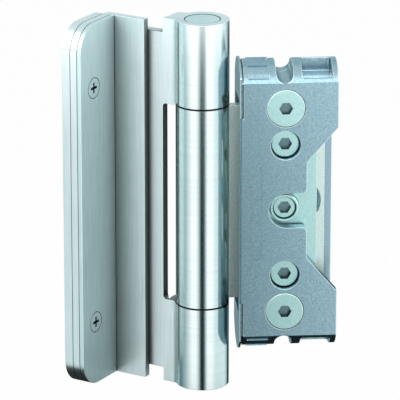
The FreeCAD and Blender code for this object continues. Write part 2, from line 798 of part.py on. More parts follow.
def make_shell_form(name):
    """The closed form that the front and the rear shell share."""
    body = new_body(name)
    half = s.receiver_width / 2
    body_from = s.lip_thick + s.lip_groove - half
    inset = s.end_radius - s.lip_groove
    main = new_sketch(body, "main", SIDE, body_from)
    shell_section(main, s.end_radius, s.receiver_depth, 0)
    pad(body, main, half - body_from)
    crease_up = CROWN_UP + crown_reach(s.end_radius, s.receiver_depth - s.end_radius)

    def crease(edge):
        middle = edge.BoundBox.Center
        return (edge.BoundBox.XLength > 1 and abs(middle.y + s.receiver_depth.value) < 0.02
                and abs(abs(middle.z) - crease_up.value) < 0.02)

    dress(body, "Fillet", "crease", s.crease_radius, crease)
    neck = new_sketch(body, "neck", SIDE, -half)
    shell_section(neck, inset, s.receiver_depth - s.lip_groove, s.lip_groove)
    pad(body, neck, half + body_from)
    lip = new_sketch(body, "lip", SIDE, -half)
    shell_section(lip, s.lip_radius, s.receiver_depth, 0)
    pad(body, lip, s.lip_thick)
    gap = new_sketch(body, "lip_gap", SIDE, -half)
    rectangle(gap, -s.receiver_depth, 0, -LIP_FROM, LIP_FROM)
    cut(body, gap, s.lip_thick)
    neck_again = new_sketch(body, "neck_again", SIDE, -half)
    rectangle(neck_again, s.lip_groove - s.receiver_depth, -s.lip_groove, -LIP_FROM, LIP_FROM)
    pad(body, neck_again, s.lip_thick)
    edge_from = body_from - s.edge_step
    strip = new_sketch(body, "strip", SIDE, edge_from)
    rectangle(strip, -s.receiver_depth, 0, -LIP_FROM, LIP_FROM)
    pad(body, strip, s.edge_step)
    cavity = new_sketch(body, "cavity", FRONT, s.back_wall)
    rectangle(cavity, body_from, half - s.side_wall, -CAVITY_HALF, CAVITY_HALF, s.cavity_corner)
    cut(body, cavity, WALL_BACK - s.back_wall)
    mouth = new_sketch(body, "mouth", FRONT, s.back_wall)
    mouth_half = CAVITY_HALF - s.mouth_short
    rectangle(mouth, -half, half - s.side_wall, -mouth_half, mouth_half)
    cut(body, mouth, WALL_BACK - s.back_wall)
    opening = new_sketch(body, "opening", FRONT, s.back_wall)
    opening_half = CAVITY_HALF - s.side_opening_short
    rectangle(opening, 0, half, -opening_half, opening_half)
    cut(body, opening, WALL_BACK - s.back_wall)
    channels = new_sketch(body, "channels", FRONT, 0)
    radius = s.channel_width / 2
    open_end = CHANNEL_FLOOR + s.receiver_width
    slot_half = (open_end - CHANNEL_FLOOR) / 2 - radius
    slot_up = (open_end + CHANNEL_FLOOR) / 2
    for side in (-1, 1):
        slot(channels, -s.channel_left, side * slot_up, slot_half, radius, upright=True)
    cut(body, channels, s.receiver_depth)
    return body


def split_at_seam(body, keep_front):
    """Leave one side of the seam between the two shells."""
    width, height = s.receiver_width, 2 * RECEIVER_HALF
    rest = new_sketch(body, "seam", FRONT, as_size(0) if keep_front else s.seam_front)
    rectangle(rest, -width, width, -height, height)
    cut(body, rest, s.seam_front if keep_front else s.receiver_depth)


def make_receiver_front():
    """Front shell: adjuster seats, cut-out, end pockets and crush ribs."""
    body = make_shell_form("receiver_front")
    half = s.receiver_width / 2
    window = new_sketch(body, "cut_out", FRONT, WALL_BACK)
    inner = CLAMP_UP - s.cut_from_clamp
    outer = DEPTH_UP - s.cut_from_adjuster
    outline(window, [Corner(s.cut_edge, -inner, s.cut_corner), Corner(half, -outer),
                     Corner(half, outer), Corner(s.cut_edge, inner, s.cut_corner)])
    cut(body, window, s.front_wall)
    notch = new_sketch(body, "notch", FRONT, WALL_BACK)
    reach = (s.cut_edge + s.notch_radius - s.notch_centre) / 2
    slot(notch, s.notch_centre + reach, 0, reach, s.notch_radius)
    cut(body, notch, s.front_wall)

    def notch_corner(edge):
        middle = edge.BoundBox.Center
        return (edge.BoundBox.YLength > 1 and edge.BoundBox.XLength < 0.01
                and abs(middle.x - s.cut_edge.value) < 0.02
                and abs(abs(middle.z) - s.notch_radius.value) < 0.02)

    dress(body, "Fillet", "notch_corners", s.cut_corner, notch_corner)
    seats = new_sketch(body, "disc_seats", FRONT, WALL_FRONT - s.disc_thick - s.adjuster_play)
    bores = new_sketch(body, "spindle_bores", FRONT, WALL_BACK)
    windows = new_sketch(body, "clamp_windows", FRONT, WALL_BACK)
    for side in (-1, 1):
        circle(seats, COLUMN, side * DEPTH_UP, s.disc_diameter / 2 + s.disc_play)
        circle(bores, COLUMN, side * DEPTH_UP, s.spindle_diameter / 2 + s.spindle_play)
        circle(windows, COLUMN, side * CLAMP_UP, s.clamp_window / 2)
    cut(body, seats, s.front_wall)
    cut(body, bores, s.front_wall)
    cut(body, windows, s.front_wall)
    relief = new_sketch(body, "relief", FRONT, WALL_FRONT - s.relief_depth)
    radius = s.relief_width / 2
    slot(relief, s.relief_left + radius, 0, s.relief_height / 2 - radius, radius, upright=True)
    cut(body, relief, s.relief_depth)
    for side, label in ((1, "upper"), (-1, "lower")):
        make_pocket(body, side, label)
        make_ribs(body, side, label)
    screws = new_sketch(body, "screw_threads", FRONT, 0)
    for _, across, up in shell_screw_places():
        circle(screws, across, up, s.shell_screw_shank / 2)
    cut(body, screws, s.shell_screw_length + s.shell_screw_sink)
    split_at_seam(body, keep_front=True)


def make_pocket(body, side, label):
    """Open pocket in the crown, with a rounded ledge along its back wall."""
    top = RECEIVER_HALF + s.lip_groove
    pocket = new_sketch(body, f"pocket_{label}", TOP, POCKET_FLOOR if side > 0 else -top)
    rectangle(pocket, s.pocket_left, s.pocket_right, -s.pocket_front, -s.pocket_back,
              s.pocket_corner)
    cut(body, pocket, top - POCKET_FLOOR)
    ledge = new_sketch(body, f"ledge_{label}", SIDE, s.pocket_left)
    near = -s.pocket_back - s.ledge_depth
    far = s.pocket_corner - s.pocket_back
    low = POCKET_FLOOR - s.pocket_corner
    high = POCKET_FLOOR + s.ledge_height
    corners = [Corner(near, side * low), Corner(far, side * low), Corner(far, side * high),
               Corner(near, side * high, s.ledge_round)]
    outline(ledge, corners if side > 0 else corners[::-1])
    pad(body, ledge, s.pocket_right - s.pocket_left)


def make_ribs(body, side, label):
    """Three crush ribs across the crown, left of the channel."""
    low = s.end_radius - s.rib_height
    high = s.end_radius + s.rib_height
    half = s.rib_width / 2
    ribs = new_sketch(body, f"ribs_{label}", SIDE, s.rib_left)
    for step in range(3):
        away = s.rib_first_turn - step * s.rib_pitch_turn
        corners = []
        for reach, beside in ((low, -half), (low, half), (high, half), (high, -half)):
            across = -s.end_radius - reach * sine(away) + beside * cosine(away)
            up = CROWN_UP + reach * cosine(away) + beside * sine(away)
            corners.append(Corner(across, side * up))
        outline(ribs, corners if side > 0 else corners[::-1])
    pad(body, ribs, s.rib_right - s.rib_left)


def make_receiver_back():
    """Rear shell with the seat face and the four screw heads."""
    body = make_shell_form("receiver_back")
    holes = new_sketch(body, "screw_holes", FRONT, 0)
    heads = new_sketch(body, "screw_heads", FRONT, 0)
    for _, across, up in shell_screw_places():
        circle(holes, across, up, s.shell_screw_shank / 2 + s.clamp_hole_play)
        circle(heads, across, up, s.shell_screw_head / 2 + s.clamp_hole_play)
    cut(body, holes, s.receiver_depth)
    cut(body, heads, s.shell_screw_sink)
    split_at_seam(body, keep_front=False)


def make_shell_screws():
    """Screws driven from the back, heads sunk below the seat face."""
    for label, across, up in shell_screw_places():
        body = new_body(f"shell_screw_{label}")
        head, shank = s.shell_screw_head / 2, s.shell_screw_shank / 2
        under, tip = s.shell_screw_sink, s.shell_screw_sink + s.shell_screw_length
        turn_profile(body, "profile", [
            Corner(0, under - s.shell_head_height), Corner(head, under - s.shell_head_height),
            Corner(head, under), Corner(shank, under), Corner(shank, tip), Corner(0, tip)])
        face_front(body, across, up)


def make_carriage():
    """Rear jaw that the depth adjusters carry and the clamp screws pull on."""
    body = new_body("depth_carriage")
    plate = new_sketch(body, "plate", FRONT, CARRIAGE_BACK)
    half = CAVITY_HALF - s.carriage_play
    rectangle(plate, s.carriage_left, s.carriage_right, -half, half, s.carriage_corner)
    pad(body, plate, s.carriage_thick)
    bores = new_sketch(body, "bores", FRONT, CARRIAGE_BACK)
    for side in (-1, 1):
        circle(bores, COLUMN, side * DEPTH_UP, s.spindle_diameter / 2 + s.spindle_play)
        circle(bores, COLUMN, side * CLAMP_UP, s.clamp_screw_shank / 2)
    cut(body, bores, s.carriage_thick)
    groove = new_sketch(body, "groove", FRONT, CARRIAGE_FRONT - s.tongue_depth)
    side = s.tongue_width / 2 + s.tongue_play
    rectangle(groove, COLUMN - side, COLUMN + side, -s.groove_height / 2, s.groove_height / 2, 1)
    cut(body, groove, s.tongue_depth)


def make_clamp_plate():
    """Front jaw: a plate with two pads that press on the wing."""
    body = new_body("clamp_plate")
    half = CLAMP_UP + s.clamp_end
    pad_from = CLAMP_UP - s.clamp_pad_start
    plate = new_sketch(body, "plate", FRONT, CLAMP_BACK)
    rectangle(plate, s.clamp_left, s.clamp_right, -half, half, s.carriage_corner)
    pad(body, plate, s.clamp_thick)
    pads = new_sketch(body, "pads", FRONT, SLIDE_BACK)
    rectangle(pads, s.clamp_left, s.clamp_right, pad_from, half, s.carriage_corner)
    rectangle(pads, s.clamp_left, s.clamp_right, -half, -pad_from, s.carriage_corner)
    pad(body, pads, CLAMP_BACK - SLIDE_BACK)
    holes = new_sketch(body, "holes", FRONT, SLIDE_BACK)
    for side in (-1, 1):
        circle(holes, COLUMN, side * CLAMP_UP, s.clamp_screw_shank / 2 + s.clamp_hole_play)
    circle(holes, COLUMN, 0, s.cup_diameter / 2)
    cut(body, holes, CLAMP_FRONT - SLIDE_BACK)


def make_clamp_screw(name, side):
    """Low cap screw with a hexagon socket."""
    body = new_body(name)
    head, shank = s.clamp_screw_head / 2, s.clamp_screw_shank / 2
    top = CLAMP_FRONT + s.clamp_head_height
    turn_profile(body, "profile", [
        Corner(0, CARRIAGE_BACK), Corner(shank, CARRIAGE_BACK), Corner(shank, CLAMP_FRONT),
        Corner(head, CLAMP_FRONT), Corner(head, top - s.edge_break),
        Corner(head - s.edge_break, top), Corner(0, top)])
    socket(body, "socket", top, s.hex_depth)
    face_front(body, COLUMN, side * CLAMP_UP)


def make_adjuster_bush():
    """Cup that holds the height adjuster's head in the clamp plate."""
    body = new_body("adjuster_bush")
    outer = s.cup_diameter / 2
    wide = s.adjuster_head / 2 + s.adjuster_head_play
    narrow = s.adjuster_neck / 2 + s.adjuster_play
    floor = CLAMP_BACK + s.cup_floor
    top = CLAMP_FRONT + s.cup_height
    turn_profile(body, "profile", [
        Corner(narrow, CLAMP_BACK), Corner(outer, CLAMP_BACK), Corner(outer, top - s.edge_break),
        Corner(outer - s.edge_break, top), Corner(wide, top), Corner(wide, floor),
        Corner(narrow, floor)])
    face_front(body, COLUMN, 0)


def make_height_adjuster():
    """Socket head, neck, crank disc and the crank pin that lifts the slide."""
    body = new_body("height_adjuster")
    head, neck = s.adjuster_head / 2, s.adjuster_neck / 2
    under = CLAMP_BACK + s.cup_floor + s.adjuster_play
    top = under + s.adjuster_head_thick
    disc_back = SLIDE_FRONT - s.crank_disc_thick
    turn_profile(body, "profile", [
        Corner(0, disc_back), Corner(s.crank_disc / 2, disc_back),
        Corner(s.crank_disc / 2, SLIDE_FRONT), Corner(neck, SLIDE_FRONT), Corner(neck, under),
        Corner(head, under), Corner(head, top - s.edge_break), Corner(head - s.edge_break, top),
        Corner(0, top)])
    socket(body, "socket", top, s.small_hex_depth)
    pin = new_sketch(body, "pin", TOP, disc_back - s.crank_pin_length)
    circle(pin, s.crank_radius, 0, s.crank_pin / 2)
    pad(body, pin, s.crank_pin_length)
    face_front(body, COLUMN, 0)


def make_height_slide():
    """Block between the jaws whose boss carries the wing and lifts it."""
    body = new_body("height_slide")
    half = s.slide_height / 2
    plate = new_sketch(body, "plate", FRONT, SLIDE_BACK)
    rectangle(plate, s.slide_left, s.slide_right, -half, half, s.slide_corner)
    pad(body, plate, s.slide_thick)
    boss = new_sketch(body, "boss", FRONT, CARRIAGE_FRONT + s.layer_gap)
    circle(boss, COLUMN, 0, s.wing_hole_radius - s.boss_play)
    pad(body, boss, SLIDE_BACK - WING_BACK)
    tongue = new_sketch(body, "tongue", FRONT, CARRIAGE_FRONT - s.tongue_depth + s.layer_gap)
    wide = s.tongue_width / 2
    tall = s.groove_height / 2 - s.height_travel - s.crank_disc_play
    rectangle(tongue, COLUMN - wide, COLUMN + wide, -tall, tall, 1)
    pad(body, tongue, s.tongue_depth)
    recess = new_sketch(body, "recess", FRONT, SLIDE_FRONT - s.crank_disc_thick - s.layer_gap)
    slot(recess, COLUMN, 0, s.height_travel + s.crank_disc_play,
         s.crank_disc / 2 + s.crank_disc_play, upright=True)
    cut(body, recess, s.crank_disc_thick + s.layer_gap)
    length = s.crank_pin_length + s.layer_gap
    track = new_sketch(body, "track", FRONT, SLIDE_FRONT - s.crank_disc_thick - length - s.layer_gap)
    shift = (s.crank_radius - root(s.crank_radius * s.crank_radius
                                   - s.height_travel * s.height_travel)) / 2
    slot(track, COLUMN + s.crank_radius - shift, 0, shift + s.crank_pin_play,
         s.crank_pin / 2 + s.crank_pin_play)
    cut(body, track, length + s.layer_gap)


def make_depth_adjuster(name, side):
    """Flush disc with its spindle, and the ring that holds it behind the wall."""
    body = new_body(f"depth_adjuster_{name}")
    disc, spindle = s.disc_diameter / 2, s.spindle_diameter / 2
    under = WALL_FRONT - s.disc_thick
    ring_front = WALL_BACK - s.ring_gap
    ring_back = ring_front - s.ring_thick
    groove = s.ring_groove / 2
    turn_profile(body, "profile", [
        Corner(0, s.spindle_end), Corner(spindle - s.edge_break, s.spindle_end),
        Corner(spindle, s.spindle_end + s.edge_break), Corner(spindle, ring_back),
        Corner(groove, ring_back), Corner(groove, ring_front), Corner(spindle, ring_front),
        Corner(spindle, under), Corner(disc, under), Corner(disc, WALL_FRONT - s.disc_edge),
        Corner(disc - s.disc_edge, WALL_FRONT), Corner(0, WALL_FRONT)])
    socket(body, "socket", WALL_FRONT, s.hex_depth)
    face_front(body, COLUMN, side * DEPTH_UP)
    ring = new_body(f"retaining_ring_{name}")
    band = new_sketch(ring, "band", TOP, ring_back)
    circle(band, 0, 0, s.ring_diameter / 2)
    circle(band, 0, 0, groove)
    pad(ring, band, s.ring_thick)
    opening = new_sketch(ring, "opening", TOP, ring_back)
    half = s.ring_opening / 2
    rectangle(opening, 0, s.ring_diameter, -half, half)
    cut(ring, opening, s.ring_thick)
    face_front(ring, COLUMN, side * DEPTH_UP)


def check_document():
    """Stop when any object failed or any sub-part isn't one valid solid."""
    for item in doc.Objects:
        if {"Invalid", "Error"} & set(item.State):
            raise RuntimeError(f"{item.Name} failed: {item.State}")
    for body in bodies:
        shape = body.Shape
        if shape.isNull() or not shape.isValid() or len(shape.Solids) != 1:
            raise RuntimeError(f"{body.Label} isn't one valid solid")


def main():
    make_door_leaf()
    make_packing_angle()
    make_cover_plate()
    make_pin_set()
    make_frame_wing()
    make_bearing_bushes()
    make_receiver_front()
    make_receiver_back()
    make_shell_screws()
    make_carriage()
    make_clamp_plate()
    make_adjuster_bush()
    make_height_adjuster()
    make_height_slide()
    for name, side in (("upper", 1), ("lower", -1)):
        make_cover_screw(f"cover_screw_{name}", side)
        make_clamp_screw(f"clamp_screw_{name}", side)
        make_depth_adjuster(name, side)
    doc.recompute()
    check_document()
    os.makedirs("parts", exist_ok=True)
    for body in bodies:
        body.Shape.exportStep(os.path.join("parts", f"{body.Label}.step"))
        print(f"{body.Label}: {body.Shape.Volume:.1f} cubic millimetres")


main()
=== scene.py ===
"""Looks of an adjustable mortise door hinge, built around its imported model.

The hinge has a rolled three-part knuckle, an angled door leaf with a packing
angle and a cover plate, and a frame wing clamped in a die-cast receiver.
The hinge's own sizes are millimetres, and those of the studio and the camera
are metres. +Z is up, the viewer stands at -Y, and the knuckle is at -X.
"""
import logging
import math
from dataclasses import dataclass, field
from enum import Enum
from typing import Callable, Iterable, Mapping, Sequence

import bmesh
import bpy
from mathutils import Matrix, Vector
from mathutils.bvhtree import BVHTree
from mathutils.kdtree import KDTree


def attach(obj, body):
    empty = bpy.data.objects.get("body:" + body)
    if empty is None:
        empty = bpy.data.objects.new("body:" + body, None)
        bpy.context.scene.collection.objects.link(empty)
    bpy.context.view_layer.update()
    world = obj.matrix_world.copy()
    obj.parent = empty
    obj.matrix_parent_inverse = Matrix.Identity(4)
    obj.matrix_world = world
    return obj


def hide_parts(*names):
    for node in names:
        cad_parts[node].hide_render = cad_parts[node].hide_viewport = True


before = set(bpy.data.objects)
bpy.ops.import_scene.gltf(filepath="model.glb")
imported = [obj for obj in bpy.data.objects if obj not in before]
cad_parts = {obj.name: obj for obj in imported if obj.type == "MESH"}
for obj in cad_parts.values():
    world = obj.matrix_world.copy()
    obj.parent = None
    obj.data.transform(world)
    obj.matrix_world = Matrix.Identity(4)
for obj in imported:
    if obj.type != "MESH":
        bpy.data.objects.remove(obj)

log = logging.getLogger("door_hinge")

MM = 0.001
PHOTO_PIXELS = 400
SENSOR_WIDTH = 36.0
# Points of a CAD mesh that are nearer than this are one, in millimetres, and
# faces that turn by less than this are one flat face, in degrees.
MERGE_WITHIN = 0.002
FLAT_WITHIN = 0.4
# The edge break of a piece that keeps the edges of its solid.
UNBROKEN = 0.0
# Where a piece's finishes are: its own, its rims' and then those of its regions.
OWN, RIM, FIRST_REGION = 0, 1, 2
# Where a Mix node's sockets are: its share, its two numbers and its two colours.
SHARE, NUMBER_A, NUMBER_B, COLOUR_A, COLOUR_B = 0, 2, 3, 6, 7
MIXED_COLOUR = 2
# A noise seldom leaves this span, so the span is widened to run from 0 to 1.
NOISE_SPAN = (0.3, 0.7)
# Rays with which a finish feels for the joint or the corner beside it, where it paints shade.
PAINTED_SHADE_RAYS = 8

NodeInput = bpy.types.NodeSocket | float | Sequence[float]
FaceTest = Callable[[bmesh.types.BMFace], bool]


class Grain(Enum):
    """The way that a metal's fine lines run: 1 for an axis across them, 0 along."""

    UPRIGHT = (1.0, 1.0, 0.0)
    LEVEL = (0.0, 0.0, 1.0)


def linear(hex_colour: str) -> tuple[float, float, float, float]:
    """Turn an sRGB hex colour into the linear colour that nodes use.

    Args:
        hex_colour: The colour as "#rrggbb".

    Returns:
        Linear red, green and blue with an alpha of 1.
    """
    channels = []
    for start in (1, 3, 5):
        value = int(hex_colour[start:start + 2], 16) / 255
        # The curve of the sRGB standard, which is a straight line near black.
        channels.append(value / 12.92 if value <= 0.04045 else ((value + 0.055) / 1.055) ** 2.4)
    return (channels[0], channels[1], channels[2], 1.0)


def add_node(tree: bpy.types.NodeTree, kind: str, settings: Mapping[str, object] | None = None,
             inputs: Mapping[str | int, NodeInput] | None = None) -> bpy.types.Node:
    """Add one node with its settings and links.

    Args:
        tree: The node tree that gets the node.
        kind: The node's type name.
        settings: Properties of the node by name.
        inputs: Values, or sockets to link from, by input name or index.

    Returns:
        The new node.
    """
    node = tree.nodes.new(kind)
    for name, value in (settings or {}).items():
        setattr(node, name, value)
    for key, value in (inputs or {}).items():
        if isinstance(value, bpy.types.NodeSocket):
            tree.links.new(value, node.inputs[key])
        else:
            node.inputs[key].default_value = value
    return node


def new_tree(name: str) -> tuple[bpy.types.Material, bpy.types.NodeTree]:
    """Make a material that has no nodes yet.

    Args:
        name: The material's name.

    Returns:
        The material and its node tree.
    """
    material = bpy.data.materials.new(name)
    material.use_nodes = True
    material.node_tree.nodes.clear()
    return material, material.node_tree


@dataclass(frozen=True)
class Finish:
    """A metal's or a plastic's surface, as its procedural material."""

    name: str
    light: str
    dark: str
    # Of the pattern's light places and of its dark ones.
    roughness: tuple[float, float]
    metallic: float = 1.0
    # Painted shade: what lies this deep in a joint or a corner is darkened,
    # down to this share of its colour.
    painted_shade_reach: float = 1.2
    painted_shade_share: float = 0.1
    # How open a place is where the painted shade is full, and where it ends.
    open_from: float = 0.12
    open_to: float = 0.6
    # How far fine lines draw the highlights out, and the way that they lie.
    stretch: float = 0.0
    stretch_turn: float = 0.0

    def pattern(self, tree: bpy.types.NodeTree) -> bpy.types.NodeSocket:
        """Return the noise that the colour, gloss and relief follow."""
        raise NotImplementedError

    def relief(self) -> float:
        """Return the height of the pattern in millimetres."""
        raise NotImplementedError

    def colour(self, tree: bpy.types.NodeTree,
               pattern: bpy.types.NodeSocket) -> bpy.types.NodeSocket:
        """Mix the two colours and darken them with painted shade in joints and corners.

        Args:
            tree: The material's node tree.
            pattern: The socket, from 0 to 1, that the colour follows.

        Returns:
            The colour socket.
        """
        skin = add_node(tree, "ShaderNodeMix", {"data_type": "RGBA"},
                        {SHARE: pattern, COLOUR_A: linear(self.dark),
                         COLOUR_B: linear(self.light)})
        # Painted shade: the colour darkens where joints, corners and recesses close around it.
        openness = add_node(tree, "ShaderNodeAmbientOcclusion", {"samples": PAINTED_SHADE_RAYS},
                            {"Distance": self.painted_shade_reach * MM})
        shade = add_node(tree, "ShaderNodeMapRange", {"interpolation_type": "SMOOTHSTEP"},
                         {"Value": openness.outputs["AO"], "From Min": self.open_from,
                          "From Max": self.open_to, "To Min": self.painted_shade_share, "To Max": 1.0})
        darkened = add_node(tree, "ShaderNodeVectorMath", {"operation": "SCALE"},
                            {0: skin.outputs[MIXED_COLOUR], "Scale": shade.outputs[0]})
        return darkened.outputs[0]

    def material(self) -> bpy.types.Material:
        """Make this finish's material on its first use.

        Returns:
            The material, which is the same at each use.
        """
        known = bpy.data.materials.get(self.name)
        if known is not None:
            return known
        material, tree = new_tree(self.name)
        widened = add_node(tree, "ShaderNodeMapRange", None,
                           {"Value": self.pattern(tree), "From Min": NOISE_SPAN[0],
                            "From Max": NOISE_SPAN[1]})
        pattern = widened.outputs[0]
        gloss = add_node(tree, "ShaderNodeMapRange", None,
                         {"Value": pattern, "To Min": self.roughness[1],
                          "To Max": self.roughness[0]})
        bump = add_node(tree, "ShaderNodeBump", None,
                        {"Strength": 1.0, "Distance": self.relief() * MM, "Height": pattern})
        shader = add_node(tree, "ShaderNodeBsdfPrincipled", None,
                          {"Base Color": self.colour(tree, pattern), "Metallic": self.metallic,
                           "Roughness": gloss.outputs[0], "Normal": bump.outputs[0],
                           "Anisotropic": self.stretch,
                           "Anisotropic Rotation": self.stretch_turn})
        add_node(tree, "ShaderNodeOutputMaterial", None, {"Surface": shader.outputs[0]})
        return material


@dataclass(frozen=True)
class LinedSteel(Finish):
    """Stainless steel with the fine parallel lines of a brushing belt.

    Each line catches the light a little apart from its neighbours, so flat
    faces show a silky streak pattern along the way that they were brushed.
    """

    grain: Grain = Grain.UPRIGHT
    # Real lines are 0.02 to 0.1 mm apart; they are drawn coarser, so that they
    # show at about two pixels to the millimetre.
    line_spacing: float = 0.4
    line_length: float = 22.0
    line_height: float = 0.002
    line_detail: float = 3.0
    line_raggedness: float = 0.6
    # Broad soft clouds lie under the lines, as uneven belt pressure leaves them.
    cloud_size: float = 14.0
    cloud_detail: float = 1.0
    cloud_share: float = 0.25

    def relief(self) -> float:
        """Return the height of the lines in millimetres."""
        return self.line_height

    def pattern(self, tree: bpy.types.NodeTree) -> bpy.types.NodeSocket:
        """Mix fine lines with broad clouds.

        Args:
            tree: The material's node tree.

        Returns:
            The socket of the mixed noise.
        """
        place = add_node(tree, "ShaderNodeTexCoord")
        across, along = 1 / (self.line_spacing * MM), 1 / (self.line_length * MM)
        scale = [across if fine else along for fine in self.grain.value]
        lines_at = add_node(tree, "ShaderNodeMapping", None,
                            {"Vector": place.outputs["Object"], "Scale": scale})
        lines = add_node(tree, "ShaderNodeTexNoise", None,
                         {"Vector": lines_at.outputs[0], "Scale": 1.0,
                          "Detail": self.line_detail, "Roughness": self.line_raggedness})
        clouds = add_node(tree, "ShaderNodeTexNoise", None,
                          {"Vector": place.outputs["Object"],
                           "Scale": 1 / (self.cloud_size * MM), "Detail": self.cloud_detail})
        mixed = add_node(tree, "ShaderNodeMix", {"data_type": "FLOAT"},
                         {SHARE: self.cloud_share, NUMBER_A: lines.outputs[0],
                          NUMBER_B: clouds.outputs[0]})
        return mixed.outputs[0]


@dataclass(frozen=True)
class GrainyMetal(Finish):
    """A skin of fine even grain, from a die, a mould, a blast or a plating bath."""

    grain_size: float = 0.5
    grain_height: float = 0.02
    grain_detail: float = 3.0
    grain_raggedness: float = 0.65

    def relief(self) -> float:
        """Return the height of the grain in millimetres."""
        return self.grain_height

    def pattern(self, tree: bpy.types.NodeTree) -> bpy.types.NodeSocket:
        """Make a fine noise on the object's own coordinates.

        Args:
            tree: The material's node tree.

        Returns:
            The noise's socket.
        """
        place = add_node(tree, "ShaderNodeTexCoord")
        grain = add_node(tree, "ShaderNodeTexNoise", None,
                         {"Vector": place.outputs["Object"], "Scale": 1 / (self.grain_size * MM),
                          "Detail": self.grain_detail, "Roughness": self.grain_raggedness})
        return grain.outputs[0]


# Stainless plate brushed upright on a belt: satin, with upright silky streaks.
SATIN_PLATE = LinedSteel("satin_stainless_plate", light="#e4f7f8", dark="#c9dfe1",
                         roughness=(0.32, 0.4), stretch=0.4)
# The same on the webs, with painted shade from the corner beside them: they
# grow lighter from the corner outwards.
SATIN_WEB = LinedSteel("satin_stainless_web", light="#f2fbfb", dark="#dbe7e8",
                       roughness=(0.28, 0.36), stretch=0.4, painted_shade_reach=18.0,
                       painted_shade_share=0.08, open_from=0.37, open_to=0.97)
# Stainless knuckle ground around its axis: sharp bands of light, fine rings.
GROUND_KNUCKLE = LinedSteel("ground_stainless_knuckle", light="#e6f0f0", dark="#d8e4e4",
                            roughness=(0.16, 0.19), stretch=0.6, stretch_turn=0.25,
                            grain=Grain.LEVEL, line_length=70.0, line_height=0.0003)
# Stainless rims where the edges were broken, a little glossier: thin pale lines of painted
# highlight.
STAINLESS_HIGHLIGHT_RIM = LinedSteel("stainless_edge_painted_highlight", light="#f2f8f8", dark="#e0ebeb",
                        roughness=(0.26, 0.34))
# The edges where steel pieces lie together: dark lines of painted shadow.
JOINT_SHADOW_EDGE = LinedSteel("painted_joint_shadow_edge", light="#1d2628", dark="#12191a",
                        roughness=(0.45, 0.55), metallic=0.6)
# Forged steel wing, blasted: greyer and duller than the leaf.
BLASTED_WING = GrainyMetal("blasted_steel_wing", light="#e8f6f2", dark="#cfdeda",
                           roughness=(0.42, 0.5), grain_size=0.7)
# Zinc alloy as cast: satin blue-grey with a fine sandy grain, which is drawn
# coarser than the real one, so that it shows; painted shade darkens its hollows.
CAST_ZINC = GrainyMetal("cast_zinc_alloy", light="#aecdd7", dark="#7292a0",
                        roughness=(0.26, 0.34), grain_size=0.4, grain_height=0.009,
                        painted_shade_reach=2.5, painted_shade_share=0.12, open_from=0.15, open_to=0.8)
# Rims and crests of the casting, smoother than it: pale soft lines of painted highlight.
CAST_HIGHLIGHT_RIM = GrainyMetal("zinc_edge_painted_highlight", light="#eef8fb", dark="#d0e4ea",
                       roughness=(0.24, 0.32), grain_size=0.6, grain_height=0.005)
# Bright zinc plating on steel: pale, smooth, with a cool green tint.
PLATED_STEEL = GrainyMetal("bright_zinc_plating", light="#c0e6e4", dark="#aed7d5",
                           roughness=(0.3, 0.38), grain_size=0.8, grain_height=0.006)
# The broken edges of plated steel: a glossier line, paler as a painted highlight.
PLATED_HIGHLIGHT_RIM = GrainyMetal("plated_edge_painted_highlight", light="#e6f8f7", dark="#d6efee",
                         roughness=(0.24, 0.32), grain_size=0.8, grain_height=0.003)
# Walls of a drive recess, darkened to nearly black as painted shade.
SHADED_RECESS_WALL = GrainyMetal("recess_wall_painted_shade", light="#2b3a3e", dark="#151d1f",
                          roughness=(0.3, 0.4))
# Floor of a drive recess, darkened as painted shade: grey in the middle, darker towards the
# walls.
SHADED_RECESS_FLOOR = GrainyMetal("recess_floor_painted_shade", light="#7f9da2", dark="#587378",
                           roughness=(0.26, 0.34), painted_shade_reach=3.2, painted_shade_share=0.05,
                           open_from=0.14, open_to=0.42)
# Ground and polished bearing pin: the glossiest steel, with no visible grain.
PIN_STEEL = GrainyMetal("polished_pin_steel", light="#b9bfc0", dark="#a7adae",
                        roughness=(0.12, 0.18), grain_size=0.9, grain_height=0.001)
# Filled self-lubricating polymer: near black and matt.
BEARING_POLYMER = GrainyMetal("bearing_polymer", light="#3a3d3f", dark="#2a2c2e",
                              roughness=(0.5, 0.62), metallic=0.0, grain_size=0.4,
                              grain_height=0.01)


def merged_copy(node: str) -> bmesh.types.BMesh:
    """Copy a CAD node's loose triangles into one closed mesh with flat faces whole.

    Args:
        node: The CAD node's name.

    Returns:
        A mesh in the row frame, its vertices merged and its coplanar triangles joined.
    """
    mesh = bmesh.new()
    mesh.from_mesh(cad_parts[node].data)
    bmesh.ops.remove_doubles(mesh, verts=mesh.verts, dist=MERGE_WITHIN * MM)
    bmesh.ops.dissolve_limit(mesh, angle_limit=math.radians(FLAT_WITHIN), verts=mesh.verts,
                             edges=mesh.edges)
    return mesh


